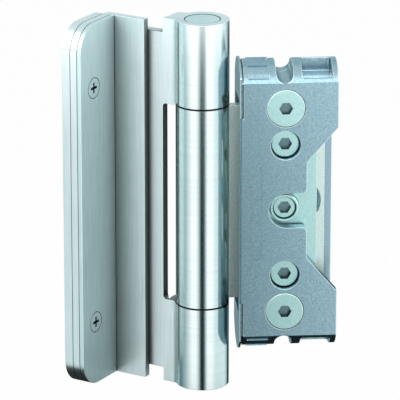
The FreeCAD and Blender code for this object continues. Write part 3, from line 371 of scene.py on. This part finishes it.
@dataclass
class Joints:
    """Finds the edges where a piece lies against another one."""

    node: str
    # Another piece within this gap makes a joint.
    gap: float = 0.62
    # The gap is felt for this far in from the edge, and from a little under the
    # face, so that a piece that touches the face is felt too.
    inward: float = 0.25
    under: float = 0.01
    # The spacing of the points that mark a joint.
    step: float = 0.4
    tree: BVHTree = field(init=False)

    def __post_init__(self) -> None:
        """Put the triangles of every other CAD node into one search tree."""
        others = bmesh.new()
        for name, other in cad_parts.items():
            if name != self.node:
                others.from_mesh(other.data)
        self.tree = BVHTree.FromBMesh(others)
        others.free()

    def at(self, edge: bmesh.types.BMEdge) -> bool:
        """Feel for another piece in front of the faces beside an edge.

        Args:
            edge: An edge of the node's mesh.

        Returns:
            Whether another piece lies against one of the two faces.
        """
        middle = (edge.verts[0].co + edge.verts[1].co) / 2
        for loop in edge.link_loops:
            normal = loop.face.normal
            start = middle + edge.calc_tangent(loop) * self.inward * MM - normal * self.under * MM
            if self.tree.ray_cast(start, normal, self.gap * MM)[0] is not None:
                return True
        return False

    def samples(self, edges: Iterable[bmesh.types.BMEdge]) -> KDTree:
        """Mark the edges of joints, to find the rims that are made from them.

        Args:
            edges: The edges that get broken.

        Returns:
            Points along those of the edges that are at a joint.
        """
        points = []
        for edge in edges:
            if not self.at(edge):
                continue
            count = max(1, math.ceil(edge.calc_length() / (self.step * MM)))
            first, last = edge.verts[0].co, edge.verts[1].co
            points += [first.lerp(last, (place + 0.5) / count) for place in range(count)]
        tree = KDTree(len(points))
        for number, point in enumerate(points):
            tree.insert(point, number)
        tree.balance()
        return tree


@dataclass(frozen=True)
class Recess:
    """A drive recess in a screw's head, found from the head's own mesh."""

    outward: tuple[float, float, float]
    # The recess lies within this radius and deeper than this under the top.
    reach: float = 3.0
    deeper_than: float = 0.05
    # The points that lie no deeper than this under the top give its centre.
    top_depth: float = 0.3
    # What faces outwards by more than this is floor, and the rest is wall.
    floor_facing: float = 0.7

    def regions(self, mesh: bmesh.types.BMesh) -> list[tuple[Finish, FaceTest]]:
        """Give the recess's walls and floor their finishes, darkened with painted shade.

        Args:
            mesh: The screw's mesh, before its edges are broken.

        Returns:
            The two finishes, each with the test that picks its faces.
        """
        outward = Vector(self.outward).normalized()
        top = max(vert.co.dot(outward) for vert in mesh.verts)
        rim = [vert.co for vert in mesh.verts if vert.co.dot(outward) > top - self.top_depth * MM]
        centre = sum(rim, Vector()) / len(rim)

        def inside(face: bmesh.types.BMFace) -> bool:
            """Say whether a face lies in the recess.

            Args:
                face: A face of the screw.

            Returns:
                Whether it is near the centre and below the top.
            """
            away = face.calc_center_median() - centre
            beside = (away - outward * away.dot(outward)).length
            deep = top - face.calc_center_median().dot(outward)
            return beside < self.reach * MM and deep > self.deeper_than * MM

        def floor(face: bmesh.types.BMFace) -> bool:
            """Say whether a face is the recess's floor."""
            return inside(face) and face.normal.dot(outward) > self.floor_facing

        def wall(face: bmesh.types.BMFace) -> bool:
            """Say whether a face is one of the recess's walls."""
            return inside(face) and face.normal.dot(outward) <= self.floor_facing

        return [(SHADED_RECESS_WALL, wall), (SHADED_RECESS_FLOOR, floor)]


@dataclass
class SoftenedNode:
    """A CAD node's shape with its sharp edges broken, which then stands for the node."""

    node: str
    body: str
    slot: str
    finish: Finish
    rim: Finish
    edge_break: float = 0.2
    # The finish of bevels at a joint: a dark line of painted shadow.
    joint_shadow_rim: Finish = JOINT_SHADOW_EDGE
    segments: int = 2
    # Edges that turn by more than the first are broken, and those that turn by
    # less than the second are shaded smooth, in degrees.
    sharp_from: float = 33.0
    smooth_below: float = 40.0
    # The edges of walls lower than this stay crisp.
    least_wall: float = 0.0
    regions: Sequence[tuple[Finish, FaceTest]] = ()
    recess: Recess | None = None
    trim: Callable[[bmesh.types.BMesh], None] | None = None

    def sharp(self, edge: bmesh.types.BMEdge) -> bool:
        """Say whether an edge turns sharply."""
        return edge.is_manifold and edge.calc_face_angle(0.0) >= math.radians(self.sharp_from)

    def low(self, face: bmesh.types.BMFace, edge: bmesh.types.BMEdge) -> bool:
        """Say whether a face is the wall of a shallow relief along an edge."""
        return face.calc_area() < self.least_wall * MM * edge.calc_length()

    def wanted(self, edge: bmesh.types.BMEdge) -> bool:
        """Say whether an edge gets broken, unlike those of recesses and reliefs.

        Args:
            edge: An edge of the node's mesh.

        Returns:
            Whether it is sharp and belongs to no recess or shallow relief.
        """
        if not self.sharp(edge) or any(self.low(face, edge) for face in edge.link_faces):
            return False
        return all(face.material_index == OWN or self.recess is None for face in edge.link_faces)

    def break_edges(self, mesh: bmesh.types.BMesh, joint_place: int) -> None:
        """Bevel the edges, and give the bevels a rim's finish with its painted highlight or a
        joint's with its painted shadow.

        Args:
            mesh: The node's mesh, its regions marked.
            joint_place: Where the joint's painted shadow is among the piece's finishes.
        """
        edges = [edge for edge in mesh.edges if self.wanted(edge)]
        joints = Joints(self.node)
        marks = joints.samples(edges)
        near = (self.edge_break + joints.step / 2) * MM
        made = bmesh.ops.bevel(mesh, geom=edges, offset=self.edge_break * MM,
                               segments=self.segments, profile=0.5, affect="EDGES",
                               clamp_overlap=False, loop_slide=False, material=-1)
        # Bevels at a joint get a painted shadow, the others a rim's painted highlight.
        for face in made["faces"]:
            distance = marks.find(face.calc_center_median())[2]
            at_joint = distance is not None and distance < near
            face.material_index = joint_place if at_joint else RIM

    def shade(self, mesh: bmesh.types.BMesh) -> None:
        """Shade rounds smooth and keep the sharp corners sharp.

        Args:
            mesh: The node's mesh, its edges broken.
        """
        for face in mesh.faces:
            face.smooth = True
        for edge in mesh.edges:
            edge.smooth = abs(edge.calc_face_angle(0.0)) < math.radians(self.smooth_below)

    def piece(self, mesh: bmesh.types.BMesh, finishes: Iterable[Finish]) -> bpy.types.Object:
        """Turn the mesh into an object that stands for the node, and free it.

        Args:
            mesh: The finished mesh.
            finishes: The finishes, in the order of the faces' material indices.

        Returns:
            The object, riding on its body.
        """
        data = bpy.data.meshes.new(f"{self.node}_dressed")
        mesh.to_mesh(data)
        mesh.free()
        for finish in finishes:
            data.materials.append(finish.material())
        piece = bpy.data.objects.new(f"{self.node}_dressed", data)
        bpy.context.scene.collection.objects.link(piece)
        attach(piece, self.body)
        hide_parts(self.node)
        even = piece.modifiers.new("even_normals", "WEIGHTED_NORMAL")
        even.keep_sharp = True
        log.info("%s: %d faces", piece.name, len(data.polygons))
        return piece

    def build(self) -> bpy.types.Object:
        """Make the piece from a copy of its node.

        Returns:
            The finished object, riding on its body.
        """
        mesh = merged_copy(self.node)
        if self.trim is not None:
            self.trim(mesh)
        regions = list(self.regions)
        if self.recess is not None:
            regions += self.recess.regions(mesh)
        for face in mesh.faces:
            for number, (_, test) in enumerate(regions, start=FIRST_REGION):
                if test(face):
                    face.material_index = number
        finishes = [self.finish, self.rim, *[finish for finish, _ in regions], self.joint_shadow_rim]
        if self.edge_break:
            self.break_edges(mesh, joint_place=len(finishes) - 1)
        self.shade(mesh)
        return self.piece(mesh, finishes)


@dataclass
class Knuckle:
    """The knuckle's outer round: its radius, and where its upright axis stands."""

    radius: float = 11.25
    across: float = -35.0
    back: float = -12.6
    # A face is on the round within this of the radius, if it leans less than this.
    within: float = 0.12
    lean: float = 0.1

    def round_face(self, face: bmesh.types.BMFace) -> bool:
        """Say whether a face lies on the outer round of the knuckle.

        Args:
            face: A face of the leaf or of the wing.

        Returns:
            Whether it is one of the round's.
        """
        middle = face.calc_center_median()
        away = Vector((middle.x - self.across * MM, middle.y - self.back * MM))
        beside = abs(away.length - self.radius * MM)
        return abs(face.normal.z) < self.lean and beside < self.within * MM


@dataclass
class DoorLeaf:
    """The moving leaf: rolled knuckles, packing angle, cover plate and its screws."""

    knuckle: Knuckle = field(default_factory=Knuckle)
    # The way that the cover plate looks. The web runs the other way, from the
    # knuckle to the plate.
    plate_faces: tuple[float, float, float] = (0.81915, -0.57358, 0.0)
    # The side of the web's window and steps that is towards the plate lies
    # between these distances from the axis, and is cut back by the last.
    window_side: tuple[float, float] = (11.65, 10.28)
    window_wider: float = 3.4
    edge_break: float = 0.15
    screw_break: float = 0.08

    def widen_window(self, mesh: bmesh.types.BMesh) -> None:
        """Cut the web's window and its steps back towards the plate.

        Args:
            mesh: The leaf's mesh.
        """
        along = Vector(self.plate_faces)
        axis = Vector((self.knuckle.across, self.knuckle.back, 0.0)) * MM
        far, near = (-side * MM for side in self.window_side)
        side = [vert for vert in mesh.verts if far < (vert.co - axis).dot(along) < near]
        log.info("window: %d points cut back", len(side))
        bmesh.ops.translate(mesh, verts=side, vec=-along * self.window_wider * MM)

    def build(self) -> list[bpy.types.Object]:
        """Make all the pieces that swing with the door.

        Returns:
            The pieces, the leaf first.
        """
        turned = ((GROUND_KNUCKLE, self.knuckle.round_face),)
        pieces = [
            SoftenedNode("door_leaf", "door_leaf", "brushed_stainless", SATIN_WEB, STAINLESS_HIGHLIGHT_RIM,
                         self.edge_break, regions=turned, trim=self.widen_window).build()]
        for node, finish in (("packing_angle", SATIN_WEB), ("cover_plate", SATIN_PLATE)):
            pieces.append(SoftenedNode(node, "door_leaf", "brushed_stainless", finish,
                                       STAINLESS_HIGHLIGHT_RIM, self.edge_break).build())
        cross = Recess(outward=self.plate_faces)
        for node in ("cover_screw_upper", "cover_screw_lower"):
            pieces.append(SoftenedNode(node, "door_leaf", "brushed_stainless", SATIN_PLATE,
                                       STAINLESS_HIGHLIGHT_RIM, self.screw_break, recess=cross).build())
        for node in ("pin_cap_upper", "pin_cap_lower"):
            pieces.append(SoftenedNode(node, "door_leaf", "brushed_stainless", SATIN_PLATE,
                                       STAINLESS_HIGHLIGHT_RIM, self.edge_break).build())
        for node in ("hinge_pin", "pin_sleeve_upper", "pin_sleeve_lower"):
            pieces.append(SoftenedNode(node, "door_leaf", "pin_steel", PIN_STEEL, PIN_STEEL,
                                       UNBROKEN).build())
        return pieces


@dataclass
class FrameWing:
    """The middle knuckle with its wing and the two bearing bushes."""

    knuckle: Knuckle = field(default_factory=Knuckle)
    edge_break: float = 0.15

    def build(self) -> list[bpy.types.Object]:
        """Make the wing and its bushes.

        Returns:
            The pieces, the wing first.
        """
        turned = ((GROUND_KNUCKLE, self.knuckle.round_face),)
        pieces = [SoftenedNode("frame_wing", "frame_wing", "brushed_stainless", BLASTED_WING,
                               STAINLESS_HIGHLIGHT_RIM, self.edge_break, regions=turned).build()]
        for node in ("bearing_bush_upper", "bearing_bush_lower"):
            pieces.append(SoftenedNode(node, "frame_wing", "bearing_polymer", BEARING_POLYMER,
                                       BEARING_POLYMER, UNBROKEN).build())
        return pieces


@dataclass
class Receiver:
    """The two die-cast shells and the screws that hold them together.

    The shells' joints get no painted shadow, so their edges are rims, with a painted highlight,
    as all the others are.
    """

    edge_break: float = 0.2
    screw_break: float = 0.15
    # The shells' reliefs are lower than this, and their edges stay crisp.
    relief: float = 1.0

    def build(self) -> list[bpy.types.Object]:
        """Make the shells and their screws.

        Returns:
            The pieces, the shells first.
        """
        pieces = [SoftenedNode(node, "receiver", "diecast_zinc", CAST_ZINC, CAST_HIGHLIGHT_RIM,
                               self.edge_break, joint_shadow_rim=CAST_HIGHLIGHT_RIM,
                               least_wall=self.relief).build()
                  for node in ("receiver_front", "receiver_back")]
        for node in ("shell_screw_upper_left", "shell_screw_upper_right",
                     "shell_screw_lower_left", "shell_screw_lower_right"):
            pieces.append(SoftenedNode(node, "receiver", "zinc_plated_steel", PLATED_STEEL,
                                       PLATED_HIGHLIGHT_RIM, self.screw_break).build())
        return pieces


@dataclass
class Clamp:
    """The carriage, the clamp plate with its screws, and all the adjusters."""

    plate_break: float = 0.2
    edge_break: float = 0.1

    def build(self) -> list[bpy.types.Object]:
        """Make every plated piece that the receiver holds.

        Returns:
            The pieces, the carriage first.
        """
        rides = {"depth_carriage": "depth_carriage", "clamp_plate": "depth_carriage",
                 "clamp_screw_upper": "depth_carriage", "clamp_screw_lower": "depth_carriage",
                 "adjuster_bush": "depth_carriage", "height_slide": "height_slide",
                 "height_adjuster": "height_adjuster",
                 "depth_adjuster_upper": "depth_adjuster_upper",
                 "depth_adjuster_lower": "depth_adjuster_lower",
                 "retaining_ring_upper": "depth_adjuster_upper",
                 "retaining_ring_lower": "depth_adjuster_lower"}
        hexagon = Recess(outward=(0.0, -1.0, 0.0))
        driven = ("clamp_screw_upper", "clamp_screw_lower", "height_adjuster",
                  "depth_adjuster_upper", "depth_adjuster_lower")
        return [SoftenedNode(node, body, "zinc_plated_steel", PLATED_STEEL, PLATED_HIGHLIGHT_RIM,
                             self.plate_break if node == "clamp_plate" else self.edge_break,
                             recess=hexagon if node in driven else None).build()
                for node, body in rides.items()]


class Card(Enum):
    """A soft box or a card of the studio, by the colour that it shows to the metal."""

    SOFT_BOX = "#ffffff"
    PALE = "#d6e4e6"
    GREY = "#a3b9bc"
    MIST = "#98a4a6"
    DUSK = "#566d71"
    BLACK = "#0e1719"


@dataclass(frozen=True)
class SoftLamp:
    """A square soft box that hangs above the hinge and points at it."""

    name: str
    place: tuple[float, float, float]
    power: float
    size: float = 0.9


@dataclass
class Studio:
    """A pale floor, a white surround, soft lamps and a ring that the metal mirrors."""

    floor_level: float = -0.45
    floor_half: float = 6.0
    floor_colour: str = "#f4f6f6"
    floor_glow: float = 0.93
    ring_radius: float = 0.3
    ring_top: float = 0.62
    ring_centre: tuple[float, float] = (-0.035, -0.0126)
    ring_sides: int = 96
    # Between these heights the cards give way to the top light.
    card_top: tuple[float, float] = (-0.015, 0.02)
    card_strength: float = 1.25
    top_strength: float = 2.1
    # A dark bar hangs across the light, so that rounded ends show a dark line.
    bar: Sequence[tuple[float, Card]] = (
        (0.045, Card.SOFT_BOX), (0.06, Card.DUSK), (0.08, Card.DUSK), (0.1, Card.SOFT_BOX))
    # Cards by the angle from -Y, to the right: a narrow black gap between two
    # broad soft boxes, and darker cards to the sides and the back.
    cards: Sequence[tuple[float, Card]] = (
        (-180, Card.GREY), (-156, Card.DUSK), (-135, Card.GREY), (-112, Card.DUSK),
        (-80, Card.GREY), (-48, Card.SOFT_BOX), (-31, Card.SOFT_BOX), (-18, Card.GREY),
        (-12, Card.BLACK), (1, Card.BLACK), (9, Card.GREY), (16, Card.SOFT_BOX),
        (36, Card.SOFT_BOX), (54, Card.PALE), (104, Card.PALE), (122, Card.GREY),
        (134, Card.BLACK), (152, Card.BLACK), (166, Card.GREY))
    top_cards: Sequence[tuple[float, Card]] = (
        (-180, Card.MIST), (-120, Card.MIST), (-70, Card.SOFT_BOX), (70, Card.SOFT_BOX),
        (120, Card.MIST))
    flag_level: float = -0.15
    flag_radius: float = 0.16
    flag_sides: int = 64
    surround_level: float = 0.85
    soft_lamps: Sequence[SoftLamp] = (
        SoftLamp("lamp_left", (-0.9, -1.1, 1.1), power=5.0),
        SoftLamp("lamp_right", (1.0, -0.9, 1.2), power=4.0))

    def build(self) -> None:
        """Make the whole studio."""
        self.surround()
        self.floor()
        self.ring()
        self.flag()
        self.lamps()

    def seen(self, tree: bpy.types.NodeTree) -> bpy.types.NodeSocket:
        """Tell the rays that see a surface from those that it lights.

        Args:
            tree: The node tree.

        Returns:
            A socket of 1 for camera, glossy and transmission rays and 0 for the rest.
        """
        path = add_node(tree, "ShaderNodeLightPath")
        first = add_node(tree, "ShaderNodeMath", {"operation": "MAXIMUM"},
                         {0: path.outputs["Is Camera Ray"], 1: path.outputs["Is Glossy Ray"]})
        both = add_node(tree, "ShaderNodeMath", {"operation": "MAXIMUM"},
                        {0: first.outputs[0], 1: path.outputs["Is Transmission Ray"]})
        return both.outputs[0]

    def surround(self) -> None:
        """White world, a little lower as a light than as a sight."""
        world = bpy.data.worlds.new("studio_surround")
        world.use_nodes = True
        tree = world.node_tree
        tree.nodes.clear()
        white = linear(Card.SOFT_BOX.value)
        light = add_node(tree, "ShaderNodeBackground", None,
                         {"Color": white, "Strength": self.surround_level})
        sight = add_node(tree, "ShaderNodeBackground", None, {"Color": white, "Strength": 1.0})
        mixed = add_node(tree, "ShaderNodeMixShader", None,
                         {0: self.seen(tree), 1: light.outputs[0], 2: sight.outputs[0]})
        add_node(tree, "ShaderNodeOutputWorld", None, {"Surface": mixed.outputs[0]})
        bpy.context.scene.world = world

    def floor(self) -> None:
        """Pale floor that keeps a soft shadow under the hinge."""
        mesh = bmesh.new()
        bmesh.ops.create_grid(mesh, x_segments=1, y_segments=1, size=self.floor_half,
                              matrix=Matrix.Translation((0, 0, self.floor_level)))
        material, tree = new_tree("studio_floor")
        diffuse = add_node(tree, "ShaderNodeBsdfDiffuse", None,
                           {"Color": linear(self.floor_colour)})
        white = add_node(tree, "ShaderNodeEmission", None,
                         {"Color": linear(Card.SOFT_BOX.value), "Strength": 1.0})
        share = add_node(tree, "ShaderNodeMath", {"operation": "MULTIPLY"},
                         {0: self.seen(tree), 1: self.floor_glow})
        mixed = add_node(tree, "ShaderNodeMixShader", None,
                         {0: share.outputs[0], 1: diffuse.outputs[0], 2: white.outputs[0]})
        add_node(tree, "ShaderNodeOutputMaterial", None, {"Surface": mixed.outputs[0]})
        self.stage_piece("studio_floor", mesh, material)

    def set_stops(self, ramp: bpy.types.Node,
                  stops: Sequence[tuple[float, Card]]) -> bpy.types.NodeSocket:
        """Give a colour ramp its colours.

        Args:
            ramp: The ramp's node.
            stops: Each card's place on the ramp, from 0 to 1, in rising order.

        Returns:
            The ramp's colour socket.
        """
        elements = ramp.color_ramp.elements
        while len(elements) < len(stops):
            elements.new(0.5)
        for element, (place, card) in zip(elements, stops):
            element.position = place
            element.color = linear(card.value)
        return ramp.outputs[0]

    def around(self, cards: Sequence[tuple[float, Card]]) -> list[tuple[float, Card]]:
        """Turn the cards' angles into places from 0 to 1, and close the ring."""
        closed = (*cards, (cards[0][0] + 360, cards[0][1]))
        return [((degrees + 180) / 360, card) for degrees, card in closed]

    def cards_colour(self, tree: bpy.types.NodeTree, axes: bpy.types.Node,
                     above: bpy.types.NodeSocket) -> bpy.types.NodeSocket:
        """Colour the ring by its cards, the lower and the upper ones.

        Args:
            tree: The ring's node tree.
            axes: The node that gives X, Y and Z from the ring's centre.
            above: The socket that goes from 0 at the cards to 1 at the top light.

        Returns:
            The colour socket.
        """
        front = add_node(tree, "ShaderNodeMath", {"operation": "MULTIPLY"},
                         {0: axes.outputs["Y"], 1: -1.0})
        angle = add_node(tree, "ShaderNodeMath", {"operation": "ARCTAN2"},
                         {0: axes.outputs["X"], 1: front.outputs[0]})
        turn = add_node(tree, "ShaderNodeMapRange", None,
                        {"Value": angle.outputs[0], "From Min": -math.pi, "From Max": math.pi})
        lower, upper = (
            self.set_stops(add_node(tree, "ShaderNodeValToRGB", None, {0: turn.outputs[0]}),
                           self.around(cards)) for cards in (self.cards, self.top_cards))
        colour = add_node(tree, "ShaderNodeMix", {"data_type": "RGBA"},
                          {SHARE: above, COLOUR_A: lower, COLOUR_B: upper})
        return colour.outputs[MIXED_COLOUR]

    def bar_colour(self, tree: bpy.types.NodeTree, axes: bpy.types.Node) -> bpy.types.NodeSocket:
        """Shade the ring by the dark bar.

        Args:
            tree: The ring's node tree.
            axes: The node that gives X, Y and Z from the ring's centre.

        Returns:
            The colour socket, white away from the bar.
        """
        rise = add_node(tree, "ShaderNodeMapRange", None,
                        {"Value": axes.outputs["Z"], "From Min": self.floor_level,
                         "From Max": self.ring_top})
        shade = add_node(tree, "ShaderNodeValToRGB", None, {0: rise.outputs[0]})
        span = self.ring_top - self.floor_level
        return self.set_stops(shade, [((level - self.floor_level) / span, card)
                                      for level, card in self.bar])

    def ring(self) -> None:
        """Upright ring of soft boxes and cards that only reflections see."""
        mesh = bmesh.new()
        x, y = self.ring_centre
        low = mesh.verts.new((x, y - self.ring_radius, self.floor_level + MM))
        high = mesh.verts.new((x, y - self.ring_radius, self.ring_top))
        edge = mesh.edges.new((low, high))
        bmesh.ops.spin(mesh, geom=[low, high, edge], cent=(x, y, 0), axis=(0, 0, 1),
                       angle=math.tau, steps=self.ring_sides, use_merge=True)
        material, tree = new_tree("studio_ring")
        place = add_node(tree, "ShaderNodeTexCoord")
        centred = add_node(tree, "ShaderNodeMapping", None,
                           {"Vector": place.outputs["Object"], "Location": (-x, -y, 0)})
        axes = add_node(tree, "ShaderNodeSeparateXYZ", None, {0: centred.outputs[0]})
        above = add_node(tree, "ShaderNodeMapRange", {"interpolation_type": "SMOOTHSTEP"},
                         {"Value": axes.outputs["Z"], "From Min": self.card_top[0],
                          "From Max": self.card_top[1]}).outputs[0]
        barred = add_node(tree, "ShaderNodeMix", {"data_type": "RGBA", "blend_type": "MULTIPLY"},
                          {SHARE: 1.0, COLOUR_A: self.cards_colour(tree, axes, above),
                           COLOUR_B: self.bar_colour(tree, axes)})
        strength = add_node(tree, "ShaderNodeMapRange", None,
                            {"Value": above, "To Min": self.card_strength,
                             "To Max": self.top_strength})
        self.reflected_only("studio_ring", mesh, material, barred.outputs[MIXED_COLOUR],
                            strength.outputs[0])

    def flag(self) -> None:
        """Dark card under the hinge that keeps its underside dark."""
        mesh = bmesh.new()
        x, y = self.ring_centre
        bmesh.ops.create_circle(mesh, cap_ends=True, segments=self.flag_sides,
                                radius=self.flag_radius,
                                matrix=Matrix.Translation((x, y, self.flag_level)))
        material, _ = new_tree("studio_flag")
        self.reflected_only("studio_flag", mesh, material, linear(Card.BLACK.value), 1.0)

    def reflected_only(self, name: str, mesh: bmesh.types.BMesh, material: bpy.types.Material,
                       colour: NodeInput, strength: NodeInput) -> None:
        """Finish a glowing card that the metal mirrors and nothing else sees.

        Args:
            name: The card's name.
            mesh: The card's mesh, which is freed.
            material: The card's material, which gets its glow.
            colour: The glow's colour.
            strength: The glow's strength.
        """
        tree = material.node_tree
        glow = add_node(tree, "ShaderNodeEmission", None, {"Color": colour, "Strength": strength})
        add_node(tree, "ShaderNodeOutputMaterial", None, {"Surface": glow.outputs[0]})
        card = self.stage_piece(name, mesh, material)
        for unseen in ("visible_camera", "visible_diffuse", "visible_shadow",
                       "visible_transmission"):
            setattr(card, unseen, False)

    def stage_piece(self, name: str, mesh: bmesh.types.BMesh,
                    material: bpy.types.Material) -> bpy.types.Object:
        """Turn a mesh into a piece of the stage and free it.

        Args:
            name: The piece's name.
            mesh: The piece's mesh.
            material: The piece's material.

        Returns:
            The new object.
        """
        data = bpy.data.meshes.new(name)
        mesh.to_mesh(data)
        mesh.free()
        data.materials.append(material)
        piece = bpy.data.objects.new(name, data)
        bpy.context.scene.collection.objects.link(piece)
        return piece

    def lamps(self) -> None:
        """Two large soft boxes from above, left and right of the camera."""
        for soft in self.soft_lamps:
            light = bpy.data.lights.new(soft.name, "AREA")
            light.size = soft.size
            light.energy = soft.power
            lamp = bpy.data.objects.new(soft.name, light)
            lamp.location = soft.place
            lamp.rotation_mode = "QUATERNION"
            lamp.rotation_quaternion = (-Vector(soft.place)).to_track_quat("-Z", "Y")
            lamp.visible_camera = False
            bpy.context.scene.collection.objects.link(lamp)


@dataclass
class PhotoCamera:
    """The camera as the photograph's was, fitted to the hinge's own corners."""

    place: tuple[float, float, float] = (-0.1511, -1.5081, 0.4947)
    turn_right: float = 4.4
    look_down: float = 18.21
    focal_pixels: float = 3765.0

    def build(self) -> bpy.types.Object:
        """Make the camera and give it to the scene.

        Returns:
            The camera's object.
        """
        data = bpy.data.cameras.new("photo_camera")
        data.sensor_width = SENSOR_WIDTH
        data.lens = self.focal_pixels * SENSOR_WIDTH / PHOTO_PIXELS
        camera = bpy.data.objects.new("photo_camera", data)
        camera.location = self.place
        camera.rotation_euler = (math.radians(90 - self.look_down), 0,
                                 -math.radians(self.turn_right))
        bpy.context.scene.collection.objects.link(camera)
        bpy.context.scene.camera = camera
        return camera


def main() -> None:
    """Build the camera, the studio and every sub-assembly, in order."""
    logging.basicConfig(level=logging.INFO, format="%(message)s")
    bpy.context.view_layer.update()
    bpy.context.scene.view_settings.view_transform = "Standard"
    PhotoCamera().build()
    Studio().build()
    for part in (DoorLeaf(), FrameWing(), Receiver(), Clamp()):
        pieces = part.build()
        log.info("%s: %d pieces", type(part).__name__, len(pieces))


if __name__ == "__main__":
    main()
